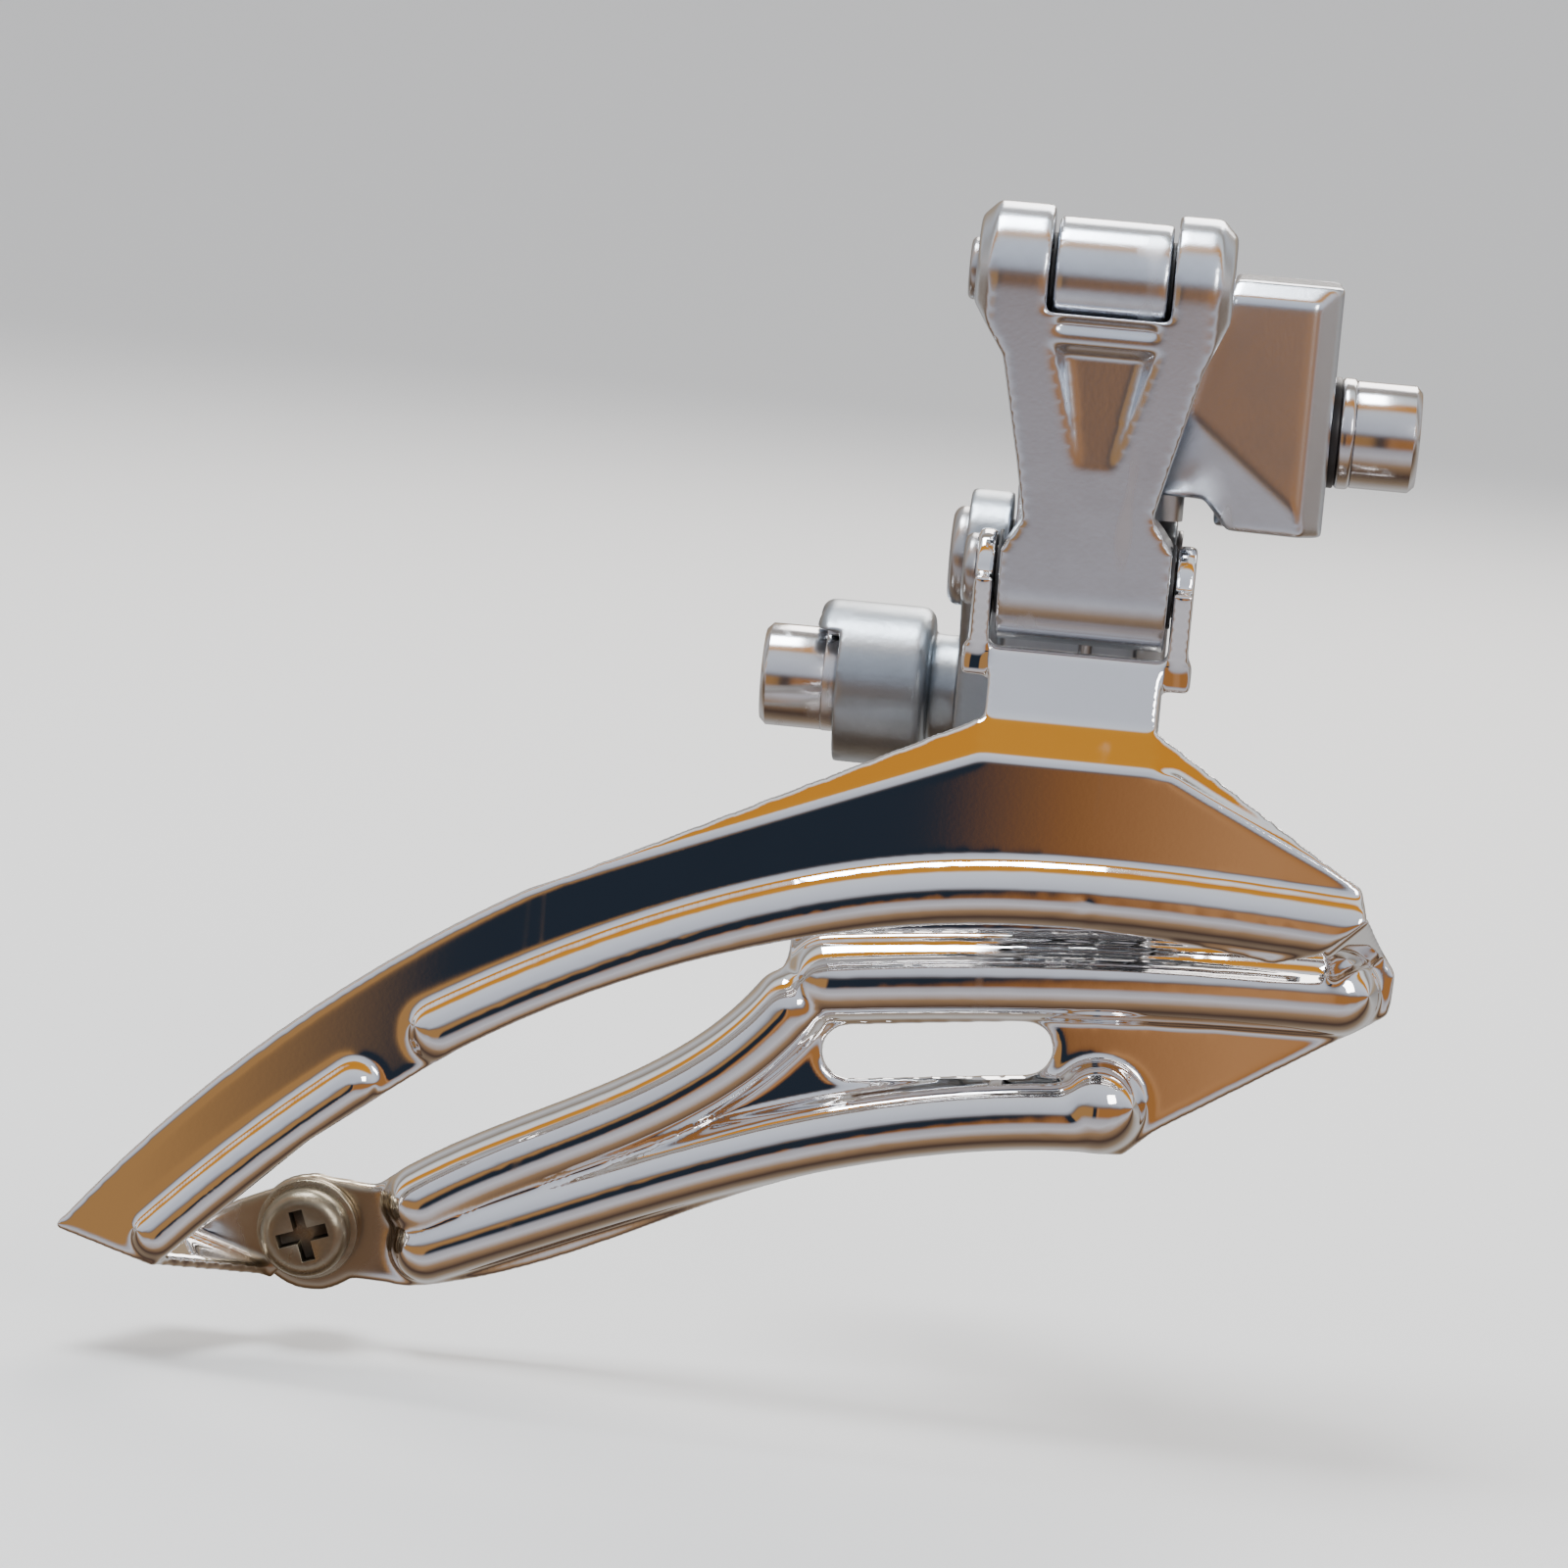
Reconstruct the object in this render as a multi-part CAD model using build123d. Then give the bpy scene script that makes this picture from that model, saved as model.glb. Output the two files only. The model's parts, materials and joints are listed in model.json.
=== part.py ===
"""Braze-on front derailleur for a triple chainset, as an assembly of separate pieces.

Millimetres. +X points forward along the hanger bolt, +Y inboard towards the seat tube, +Z up along it.
The origin is where the hanger bolt's axis meets the bracket's clamp face.
"""

from build123d import *
import math
import os

# ---- linkage: a parallelogram of two links, seen along X as (y, z) ----
link_length = 23.8
rest_tilt = 9.7
outer_upper = (-13.0, 10.9)
inner_upper = (2.5, -12.7)
link_mid_x = -18.0
pin_radius = 2.0
pin_running_gap = 0.03
pin_seat_gap = 0.01
open_pivot_gap = 0.12
bush_wall = 0.5
pin_head_radius = 2.8
pin_head = 1.0
hub_pin_head_radius = 4.0
hub_pin_head = 1.3
ear_pin_head_radius = 2.4
ear_pin_head = 0.6
clip_radius = 3.6
clip_depth = 0.4
clip_thickness = 0.5
clip_end = 1.1
bush_length = 3.4
lower_bush_length = 4.0
flange_radius = 3.3
flange_thickness = 0.3
side_gap = 0.05

# ---- outer link ----
ear_radius = 5.4
ear_width = 5.6
knuckle_width = 8.8
lower_knuckle_radius = 5.2
lower_knuckle_width = 13.2
outer_web = 4.4
ear_chamfer = 1.3
blind_end = 0.8
slot_gap = 0.4
slot_floor_drop = 2.6
slot_back_drop = 6.2
hollow_rim = 1.5
hollow_head = 8.4
hollow_foot = 3.0
hollow_length = 9.4
hollow_depth = 1.5
hollow_draft = 35.0
rim_bevel = 0.9

# ---- inner link and cable arm ----
hub_radius = 5.5
hub_lug_width = 3.4
hub_right_lug_width = 2.4
hub_span = 10.8
inner_knuckle_radius = 4.2
inner_knuckle_width = 10.0
inner_web = 4.0
clamp_axis = (13.5, -25.0)
drum_radius = 6.7
drum_width = 9.6
clamp_seat_depth = 2.0
clamp_seat_gap = 0.15
drum_fillet = 1.2
tab_size = 1.8
tab_gap = 0.2
neck_radius = 4.6
neck_width = 2.4
stop_offset = 3.2
stop_reach = 4.0
stop_height = 4.6
stop_thickness = 3.4
stop_gap = 0.03
right_lug_radius = 4.4
swing = 40.0

# ---- bracket ----
block_width = 8.5
block_front = -7.0
block_back = 7.0
block_top = 11.6
block_bottom = -8.1
web_bottom = -5.8
web_top = 9.0
body_knuckle_radius = 4.6
body_leg_width = 3.0
body_leg_radius = 4.4
tower_width = 5.6
tower_chamfer = 1.2
block_top_bevel = 1.4
block_front_bevel = 2.0
crease_slope = 14.0

# ---- screws ----
bolt_radius = 2.5
bolt_head_radius = 4.25
bolt_head_length = 5.1
hex_across = 4.0
hanger_bolt_length = 11.0
cable_bolt_length = 9.0
thread_gap = 0.03
washer_radius = 4.4
hanger_washer_thickness = 0.6
steel_washer_thickness = 1.3
clamp_washer_thickness = 1.2
clamp_washer_radius = 4.3
limit_radius = 1.5
limit_head_radius = 2.7
limit_head_height = 1.8
limit_head_seat = 9.2
sleeve_wall = 0.7
sleeve_height = 3.0
head_clearance = 0.4
cross_length = 3.2
cross_width = 0.7
cross_depth = 1.0
socket_depth = 2.6
head_chamfer = 0.5
washer_gap = 0.2

# ---- cage, measured from the outer link's lower pivot ----
sheet = 1.0
ear_sheet = 1.6
cage_front = -7.0
inner_front = 4.0
panel_front = -4.6
panel_bottom = -10.8
panel_top = -5.6
panel_lean = 1.8
flange_bottom = -13.8
bridge_near = (22.6, -25.0)
ear_tip_radius = 3.3
ear_drop = 6.4
inner_ear_radius = 3.4
tail_screw = (-57.6, -58.7)
lobe_radius = 4.6
tail_radius = 1.75
tail_hole_gap = 0.15
tail_cross_length = 4.2
tail_cross_width = 1.1
tail_cross_turn = 20.0
tail_head_radius = 3.6
tail_head_height = 2.3
tail_washer_radius = 4.1
tail_washer_thickness = 0.6
tail_nut_across = 6.0
tail_nut_height = 2.4
bulb_radius = 4.0
window_length = 18.4
window_height = 4.3
window_tilt = 7.0

# ---- return spring ----
wire_radius = 0.55
spring_turns = 2.05
spring_gap = 0.5
spring_leg = 8.5
spring_leg_gap = 0.3

# ---- places that follow from the sizes above ----
tilt = math.radians(rest_tilt)
drop = (link_length * math.sin(tilt), -link_length * math.cos(tilt))
outer_lower = (outer_upper[0] + drop[0], outer_upper[1] + drop[1])
inner_lower = (inner_upper[0] + drop[0], inner_upper[1] + drop[1])
inner_pivot = (inner_upper[0] - outer_upper[0], inner_upper[1] - outer_upper[1])
cage_place = Pos(link_mid_x, *outer_lower)
bush_radius = pin_radius + pin_running_gap + bush_wall
coil_radius = pin_radius + spring_gap + wire_radius
web_back = inner_upper[0] - coil_radius - wire_radius - spring_leg_gap
half_slot = knuckle_width / 2 + flange_thickness + side_gap
ear_left = link_mid_x - half_slot - ear_width
ear_right = link_mid_x + half_slot + ear_width - 1.0
cage_ear_inside = lower_knuckle_width / 2 + flange_thickness + side_gap
hub_left = link_mid_x - hub_span / 2 - 1.0
hub_right = hub_left + hub_span
limit_x = hub_right + hub_right_lug_width / 2
drum_right = hub_left - hub_lug_width - neck_width
drum_left = drum_right - drum_width
inner_ear_inside = inner_knuckle_width / 2 + flange_thickness + side_gap
clamp_tab = (clamp_axis[0] - 1.0, clamp_axis[1] + 4.4)
stop_tip = inner_upper[1] + stop_height + stop_gap


def along_x(sketch, low, high):
    """Extrude a sketch drawn in (y, z) from X = low to X = high."""
    return extrude(Plane.YZ.offset(low) * sketch, high - low)


def along_y(sketch, front, back):
    """Extrude a sketch drawn in (x, z) from Y = front to Y = back."""
    return extrude(Plane.XZ.offset(-back) * sketch, back - front)


def rod(centre, radius, low, high):
    """A round bar along X."""
    return along_x(Pos(*centre) * Circle(radius), low, high)


def post(centre, radius, front, back):
    """A round bar along Y."""
    return along_y(Pos(*centre) * Circle(radius), front, back)


def patch(*points):
    """A filled polygon."""
    return make_face(Polyline(*points, close=True))


def tapered_bar(start, start_radius, end, end_radius):
    """The outline around two circles, as a belt would wrap them."""
    run = math.hypot(end[0] - start[0], end[1] - start[1])
    heading = math.atan2(end[1] - start[1], end[0] - start[0])
    lean = math.acos((start_radius - end_radius) / run)
    corners = []
    for centre, radius, side in (
        (start, start_radius, 1),
        (end, end_radius, 1),
        (end, end_radius, -1),
        (start, start_radius, -1),
    ):
        angle = heading + side * lean
        corners.append((centre[0] + radius * math.cos(angle), centre[1] + radius * math.sin(angle)))
    return patch(*corners) + Pos(*start) * Circle(start_radius) + Pos(*end) * Circle(end_radius)


def along_link(start, along, across):
    """A point in (y, z), measured along a link from its upper pivot and across it towards inboard."""
    ahead = (math.sin(tilt), -math.cos(tilt))
    inboard = (math.cos(tilt), math.sin(tilt))
    return (
        start[0] + along * ahead[0] + across * inboard[0],
        start[1] + along * ahead[1] + across * inboard[1],
    )


def link_pocket(start, first, last, front, back):
    """A rectangle in (y, z) laid along a link."""
    return patch(
        along_link(start, first, front),
        along_link(start, last, front),
        along_link(start, last, back),
        along_link(start, first, back),
    )


def outer_link():
    side = tapered_bar(outer_upper, ear_radius, outer_lower, lower_knuckle_radius)
    side -= link_pocket(outer_upper, -9, link_length + 9, outer_web - ear_radius, 9)
    side += Pos(*outer_upper) * Circle(ear_radius)
    side += Pos(*outer_lower) * Circle(lower_knuckle_radius)
    link = along_x(side, ear_left, ear_right)
    high = outer_upper[1]
    low = outer_lower[1]
    half_low = lower_knuckle_width / 2
    outline = patch(
        (ear_left, high + 8),
        (ear_left, high - 2.3),
        (ear_left + 2.6, high - 6.2),
        (ear_left + 4.4, low + 9.0),
        (ear_left + 5.2, low + 4.6),
        (link_mid_x - half_low, low + 2.2),
        (link_mid_x - half_low, low - 8),
        (link_mid_x + half_low, low - 8),
        (link_mid_x + half_low, low + 3.0),
        (ear_right - 4.5, low + 5.6),
        (ear_right - 3.7, low + 9.0),
        (ear_right - 1.7, high - 6.2),
        (ear_right, high - 2.3),
        (ear_right, high + 8),
    )
    link &= along_y(outline, outer_upper[0] - 12, outer_lower[0] + 12)
    slot = Pos(*outer_upper) * Circle(body_knuckle_radius + slot_gap)
    slot += patch(
        (outer_upper[0] - 12, high - slot_floor_drop),
        (outer_upper[0], high - slot_floor_drop),
        (outer_upper[0], high - slot_back_drop),
        (outer_upper[0] + 12, high - slot_back_drop),
        (outer_upper[0] + 12, high + 9),
        (outer_upper[0] - 12, high + 9),
    )
    link -= along_x(slot, link_mid_x - half_slot, link_mid_x + half_slot)
    rims = link.edges().filter_by(GeomType.CIRCLE)
    link = chamfer(rims.filter_by_position(Axis.X, ear_left - 0.01, ear_left + 0.01)
                   + rims.filter_by_position(Axis.X, ear_right - 0.01, ear_right + 0.01), ear_chamfer)
    link -= face_hollow()
    rim = along_link(outer_upper, slot_floor_drop, -ear_radius)
    bevel = Box(2 * half_slot - 2 * rim_bevel, rim_bevel, rim_bevel)
    link -= Pos(link_mid_x, *rim) * Rot(X=45 + rest_tilt) * bevel
    link -= rod(outer_upper, pin_radius + pin_seat_gap, ear_left - 1, ear_right - blind_end)
    link -= rod(outer_lower, bush_radius, link_mid_x - 20, link_mid_x + 20)
    return link


def face_hollow():
    """The shallow hollow in the outer link's face, which narrows and runs out downwards."""
    face = -ear_radius
    top = slot_floor_drop + hollow_rim
    outline = Plane(
        origin=(link_mid_x, *along_link(outer_upper, top, face)),
        x_dir=(1, 0, 0),
        z_dir=(0, math.cos(tilt), math.sin(tilt)),
    )
    sketch = patch(
        (-hollow_head / 2, 0),
        (hollow_head / 2, 0),
        (hollow_foot / 2, hollow_length),
        (-hollow_foot / 2, hollow_length),
    )
    funnel = extrude(outline * sketch, 2 * hollow_depth, taper=hollow_draft) + extrude(outline * sketch, -2)
    floor = patch(
        along_link(outer_upper, top - 1, face - 3),
        along_link(outer_upper, top + hollow_length + 1, face - 3),
        along_link(outer_upper, top + hollow_length + 1, face),
        along_link(outer_upper, top, face + hollow_depth),
        along_link(outer_upper, top - 1, face + hollow_depth),
    )
    return funnel & along_x(floor, ear_left, ear_right)


def body_bracket():
    knuckle_left = link_mid_x - knuckle_width / 2
    knuckle_right = link_mid_x + knuckle_width / 2
    leg_left = hub_left + flange_thickness + side_gap
    leg_right = hub_right - flange_thickness - side_gap
    web = patch(
        (leg_left, web_bottom),
        (-block_width - 0.9, web_bottom),
        (-block_width + 1.1, block_bottom),
        (0, block_bottom),
        (0, block_top),
        (-block_width, block_top),
        (-block_width - 0.9, web_top),
        (leg_left, web_top),
    )
    body = along_y(web, block_front, web_back)
    body -= crease_cut()
    arm = patch(
        (outer_upper[0], outer_upper[1] - 4.0),
        (web_back, 4.0),
        (web_back, web_top),
        (block_front + 2.8, web_top),
        (block_front, web_top + 3.4),
        (outer_upper[0], outer_upper[1] + body_knuckle_radius - 0.4),
    )
    body += rod(outer_upper, body_knuckle_radius, knuckle_left, knuckle_right)
    body += along_x(arm, knuckle_left, knuckle_right)
    block = Pos(-block_width / 2, (web_back - 1 + block_back) / 2, (block_top + block_bottom) / 2) * Box(
        block_width, block_back - web_back + 1, block_top - block_bottom
    )
    body += block
    top_bevel = patch(
        (block_front - 1, block_top - block_top_bevel - 1),
        (block_front - 1, block_top + 1),
        (block_front + block_top_bevel + 1, block_top + 1),
    )
    body -= along_x(top_bevel, -block_width - 1, 1)
    front_bevel = patch(
        (-block_front_bevel - 1, block_front - 1),
        (1, block_front - 1),
        (1, block_front + block_front_bevel + 1),
    )
    body -= extrude(Plane.XY.offset(block_bottom - 1) * front_bevel, block_top - block_bottom + 2)
    for left, right in ((leg_left, leg_left + body_leg_width), (leg_right - body_leg_width, leg_right)):
        leg = tapered_bar(inner_upper, body_leg_radius, (-1.2, -1.0), 3.0)
        body += along_x(leg, left, right)
    tower = Pos(limit_x, inner_upper[0], (limit_head_seat + web_bottom) / 2) * Box(
        tower_width, 2 * stop_offset + tower_width, limit_head_seat - web_bottom - head_clearance
    )
    tower = chamfer(tower.edges().filter_by(Axis.Z), tower_chamfer)
    body += tower
    body -= rod(outer_upper, bush_radius, ear_left, ear_right)
    body -= rod(inner_upper, bush_radius, ear_left, ear_right)
    body -= rod((0, 0), bolt_radius + thread_gap, -hanger_bolt_length - 1.5, 1)
    for y in limit_places():
        body -= limit_hole(y)
    return body


def crease_cut():
    """The face below the block's diagonal crease, which slopes inboard away from it."""
    start = Vector(-block_width - 4.1, block_front, 2.0)
    end = Vector(-1.4, block_front, block_bottom + 1.4)
    along = (end - start).normalized()
    below = Vector(along.Z, 0, -along.X)
    reach = 16.0
    slope = patch((0, -1), (reach, -1), (reach, reach * math.tan(math.radians(crease_slope))), (0, 0))
    place = Plane(origin=start - along * 6, x_dir=below, z_dir=along)
    return extrude(place * slope, (end - start).length + 12)


def limit_places():
    """Y of the low and the high limit screw, one each side of the inner link's upper pivot."""
    return (inner_upper[0] + stop_offset, inner_upper[0] - stop_offset)


def limit_hole(y):
    """A limit screw's hole, with a wider seat for its friction sleeve at the top."""
    place = Pos(limit_x, y, 0)
    low = (Align.CENTER, Align.CENTER, Align.MIN)
    seat = place * Pos(0, 0, limit_head_seat - head_clearance - sleeve_height)
    hole = place * Cylinder(limit_radius + thread_gap, 40)
    return hole + seat * Cylinder(limit_radius + sleeve_wall, 10, align=low)


def inner_link():
    left = hub_left - hub_lug_width
    arm = tapered_bar(inner_upper, hub_radius, clamp_axis, neck_radius)
    link = along_x(arm, left, hub_left)
    right_lug = tapered_bar(inner_upper, right_lug_radius, along_link(inner_upper, 12, 1.5), 3.0)
    link += along_x(right_lug, hub_right, hub_right + hub_right_lug_width)
    web = link_pocket(inner_upper, body_leg_radius + 1.0, link_length - 2.0, -1.0, inner_web - 1.0)
    link += along_x(web, left, hub_right + hub_right_lug_width)
    taper = patch(
        (left - 30, 0),
        (left - 30, clamp_axis[1] - 11.0),
        (left, clamp_axis[1] - 2.0),
        (link_mid_x - inner_knuckle_width / 2, inner_lower[1] + 5.0),
        (link_mid_x - inner_knuckle_width / 2, inner_lower[1] - 9.0),
        (link_mid_x + inner_knuckle_width / 2, inner_lower[1] - 9.0),
        (link_mid_x + inner_knuckle_width / 2, inner_lower[1] + 5.0),
        (hub_right + hub_right_lug_width, inner_lower[1] + 10.0),
        (hub_right + hub_right_lug_width, 0),
    )
    link &= along_y(taper, -40, 40)
    half = inner_knuckle_width / 2
    link += rod(inner_lower, inner_knuckle_radius, link_mid_x - half, link_mid_x + half)
    link += stop_wings()
    link += rod(clamp_axis, neck_radius, drum_right, left)
    drum = rod(clamp_axis, drum_radius, drum_left, drum_right)
    drum = fillet(drum.edges().filter_by(GeomType.CIRCLE), drum_fillet)
    seat_top = clamp_axis[1] + clamp_washer_radius + clamp_seat_gap
    seat_low = clamp_axis[1] - 2 * drum_radius
    seat = patch(
        (clamp_axis[0] - 2 * drum_radius, seat_low),
        (clamp_axis[0] + 2 * drum_radius, seat_low),
        (clamp_axis[0] + 2 * drum_radius, seat_top),
        (clamp_axis[0] - 2 * drum_radius, seat_top),
    )
    drum -= along_x(seat, drum_left - 1, drum_left + clamp_seat_depth)
    notch_size = tab_size + 2 * tab_gap
    notch = Pos(drum_left, *clamp_tab) * Box(2 * clamp_seat_depth + 1.6, notch_size, notch_size + 1.0)
    link += drum - notch
    link -= rod(inner_upper, pin_radius + pin_seat_gap, left - 1, link_mid_x + 20)
    link -= rod(inner_lower, bush_radius, left - 1, link_mid_x + 20)
    hole_end = drum_left + clamp_seat_depth + cable_bolt_length + 1.0
    link -= rod(clamp_axis, bolt_radius + thread_gap, drum_left - 1, hole_end)
    return link


def stop_wings():
    """The two stops that the limit screws meet, at rest and at full swing."""
    wings = []
    for side, turn in ((1, 0), (-1, swing)):
        wing = patch(
            (0, stop_height),
            (side * stop_reach, stop_height),
            (side * stop_reach, stop_height - stop_thickness),
            (0, 0),
        )
        wing = Pos(*inner_upper) * Rot(Z=turn) * wing
        wings.append(along_x(wing, hub_right, hub_right + hub_right_lug_width))
    return Compound(wings)


def socket_bolt(length):
    """A socket head bolt along +X: the head's bearing face is at the origin and the shank points to -X."""
    head = Pos(bolt_head_length / 2, 0, 0) * Rot(Y=90) * Cylinder(bolt_head_radius, bolt_head_length)
    head = chamfer(head.edges().filter_by(GeomType.CIRCLE).sort_by(Axis.X)[-1], head_chamfer)
    shank = Pos(-length / 2, 0, 0) * Rot(Y=90) * Cylinder(bolt_radius, length)
    shank = chamfer(shank.edges().filter_by(GeomType.CIRCLE).sort_by(Axis.X)[0], head_chamfer)
    key = RegularPolygon(hex_across / 2, 6, major_radius=False)
    socket = along_x(key, bolt_head_length - socket_depth, bolt_head_length + 1)
    return head + shank - socket


def hanger_bolt():
    return Pos(hanger_washer_thickness + steel_washer_thickness, 0, 0) * socket_bolt(hanger_bolt_length)


def cable_bolt():
    face = drum_left + clamp_seat_depth - clamp_washer_thickness
    return Pos(face, *clamp_axis) * Rot(Z=180) * socket_bolt(cable_bolt_length)


def hanger_washer():
    hole = rod((0, 0), bolt_radius + washer_gap, -1, 9)
    return rod((0, 0), washer_radius, 0, hanger_washer_thickness) - hole


def steel_washer():
    low = hanger_washer_thickness
    high = low + steel_washer_thickness
    disc = rod((0, 0), washer_radius, low, high)
    disc = chamfer(disc.edges().filter_by(GeomType.CIRCLE), 0.25)
    return disc - rod((0, 0), bolt_radius + washer_gap, -1, 9)


def cable_washer():
    high = drum_left + clamp_seat_depth
    low = high - clamp_washer_thickness
    disc = rod(clamp_axis, clamp_washer_radius, low, high)
    tab = Pos((low + high) / 2, *clamp_tab) * Box(clamp_washer_thickness, tab_size, tab_size)
    return disc + tab - rod(clamp_axis, bolt_radius + washer_gap, low - 1, high + 1)


def limit_screw(y, tip):
    """A cross-head limit screw standing on its tip."""
    place = Pos(limit_x, y, 0)
    top = limit_head_seat
    low = (Align.CENTER, Align.CENTER, Align.MIN)
    screw = place * Pos(0, 0, tip) * Cylinder(limit_radius, top - tip, align=low)
    head = place * Pos(0, 0, top) * Cylinder(limit_head_radius, limit_head_height, align=low)
    head = fillet(head.edges().filter_by(GeomType.CIRCLE).sort_by(Axis.Z)[-1], 0.7)
    screw += head
    for turn in (0, 90):
        cross = Box(cross_length, cross_width, 2 * cross_depth)
        screw -= place * Pos(0, 0, top + limit_head_height) * Rot(Z=turn) * cross
    return screw


def limit_sleeves():
    sleeves = []
    for y in limit_places():
        ring = Circle(limit_radius + sleeve_wall) - Circle(limit_radius + thread_gap)
        place = Pos(limit_x, y, limit_head_seat - head_clearance - sleeve_height)
        sleeves.append(extrude(place * ring, sleeve_height))
    return Compound(sleeves)


def pin(centre, low, high, head_radius, head_thickness):
    """A plain pin with a domed head at its low end."""
    shaft = rod(centre, pin_radius, low, high)
    shaft = chamfer(shaft.edges().filter_by(GeomType.CIRCLE).sort_by(Axis.X)[-1], 0.3)
    head = rod(centre, head_radius, low - head_thickness, low)
    head = fillet(head.edges().filter_by(GeomType.CIRCLE).sort_by(Axis.X)[0], head_thickness * 0.7)
    return shaft + head


def flanged_bushes(centre, low, high, length, gap):
    """A pair of flanged bushes, pressed in from both ends of a knuckle."""
    bore = pin_radius + gap
    bushes = []
    for face, inwards in ((low, 1), (high, -1)):
        barrel = sorted((face, face + inwards * length))
        flange = sorted((face, face - inwards * flange_thickness))
        bush = rod(centre, bush_radius, *barrel) + rod(centre, flange_radius, *flange)
        bushes.append(bush - rod(centre, bore, low - 9, high + 9))
    return Compound(bushes)


def inner_upper_pin():
    """The inner link's upper pin, with a groove for its clip at the end away from the head."""
    end = hub_right + hub_right_lug_width
    shaft = pin(inner_upper, hub_left - hub_lug_width, end + clip_end, hub_pin_head_radius, hub_pin_head)
    groove = Circle(pin_radius + 1) - Circle(pin_radius - clip_depth)
    return shaft - along_x(Pos(*inner_upper) * groove, end, end + clip_thickness)


def clip(centre, low):
    """An E-clip, which snaps into the pin's groove from below."""
    mouth = Pos(0, -3) * Rectangle(2 * pin_radius - 1.4, 6)
    ring = Circle(clip_radius) - Circle(pin_radius - clip_depth) - mouth
    return along_x(Pos(*centre) * ring, low, low + clip_thickness)


def return_spring():
    """A torsion spring round the inner link's upper pin, with a leg on the bracket and one on the link."""
    low = hub_left + flange_thickness + side_gap + body_leg_width + wire_radius + 0.35
    pitch = wire_radius * 2 + 0.12
    height = pitch * spring_turns
    path = Helix(pitch, height, coil_radius)
    wire = sweep((path ^ 0) * Circle(wire_radius), path=path)
    for point, tangent, way in ((path @ 0, path % 0, -1), (path @ 1, path % 1, 1)):
        ahead = Vector(tangent.X, tangent.Y, 0).normalized() * way
        leg = Line(point, point + ahead * spring_leg)
        wire += sweep((leg ^ 0) * Circle(wire_radius), path=leg)
    return Pos(low, *inner_upper) * Rot(X=-90) * Rot(Y=90) * wire


def bead(points, radius, depth, face):
    """A pressed bead's round outer form: a bar along a smooth path, sunk behind the sheet's face."""
    path = Spline(*[(x, face + depth, z) for x, z in points])
    form = sweep((path ^ 0) * Circle(radius), path=path)
    for x, z in (points[0], points[-1]):
        form += Pos(x, face + depth, z) * Sphere(radius)
    return form


def press(plate, beads, face, within=None):
    """Raise hollow beads out of a sheet whose front is at the given Y, inside an outline if one is given."""
    keep = Pos(0, face + sheet - 30, 0) * Box(200, 60, 200)
    if within:
        keep = along_y(within, face - 9, face + sheet)
    for points, radius, depth in beads:
        plate += bead(points, radius, depth, face) & keep
    for points, radius, depth in beads:
        plate -= bead(points, radius - sheet, depth, face)
    return plate


def outer_cage_plate():
    back = cage_front + sheet
    half = cage_ear_inside
    tail_top = (-76.4, -58.4)
    heel = (-40.7, -27.5)
    toe = (23.6, -21.2)
    outline = Polyline(tail_top, (-68.2, -60.8), (-56.5, -49.3), (-45.3, -40.8))
    outline += ThreePointArc((-45.3, -40.8), (-12.0, -27.8), (17.3, -27.8))
    outline += Polyline((17.3, -27.8), (20.7, -26.8), (24.2, -23.6), toe)
    outline += Polyline(toe, (half + 1.4, flange_bottom), (0.2 - half, flange_bottom), heel)
    outline += ThreePointArc(heel, (-59.6, -40.8), tail_top)
    front = make_face(outline)
    plate = along_y(front, cage_front, back)
    beads = (
        (((-46.8, -39.6), (-28.0, -30.1), (-11.0, -25.0), (6.0, -23.8), (25.0, -24.6)), 3.0, 1.5),
        (((-68.2, -58.2), (-59.8, -50.0), (-53.2, -44.4)), 2.2, 1.0),
    )
    plate = press(plate, beads, cage_front, front)
    # The long bead is solid at the toe, where the inner plate's bridge meets its back.
    corner = front & Pos(bridge_near[0] + 6.9, bridge_near[1]) * Rectangle(20, 20)
    plate += bead(*beads[0], cage_front) & along_y(corner, cage_front - 9, back)
    section = patch(
        (cage_front, flange_bottom - 0.4),
        (cage_front, flange_bottom),
        (panel_front, panel_bottom),
        (panel_front + panel_lean, panel_top),
        (panel_front + panel_lean + ear_sheet, panel_top),
        (panel_front + ear_sheet, panel_bottom - 0.7),
        (back, flange_bottom - 0.4),
    )
    plate += along_x(section, 0.2 - half, half - 0.2)
    plate += gusset(heel, 0.2 - half)
    plate += gusset(toe, half - 0.2)
    ear = patch(
        (panel_front + panel_lean, -ear_drop),
        (panel_front, 0),
        (ear_tip_radius, 0),
        (ear_tip_radius * 0.6, -ear_drop),
    )
    ear += Circle(ear_tip_radius)
    for low in (-half - ear_sheet, half):
        plate += along_x(ear, low, low + ear_sheet)
        tie_height = ear_sheet + 0.8
        tie = Pos(low + ear_sheet / 2, panel_front + panel_lean + ear_sheet / 2, panel_top - tie_height / 2)
        plate += tie * Box(tie_height, ear_sheet, tie_height)
    plate += tail_bridge(tail_top)
    plate -= rod((0, 0), pin_radius + pin_seat_gap, -half - 9, half + 9)
    plate -= post(tail_screw, tail_radius + tail_hole_gap, cage_front, inner_front + 9)
    return cage_place * plate


def gusset(tip, x):
    """The sloping flange between the plate's top crease and the panel, dying out at the tip."""
    tip = Vector(tip[0], cage_front, tip[1])
    low = Vector(x, cage_front, flange_bottom)
    high = Vector(x, panel_front, panel_bottom)
    face = make_face(Polyline(tip, low, high, close=True)).face()
    inward = face.normal_at()
    if inward.Y < 0:
        inward = -inward
    return extrude(face, sheet, dir=inward)


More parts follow.
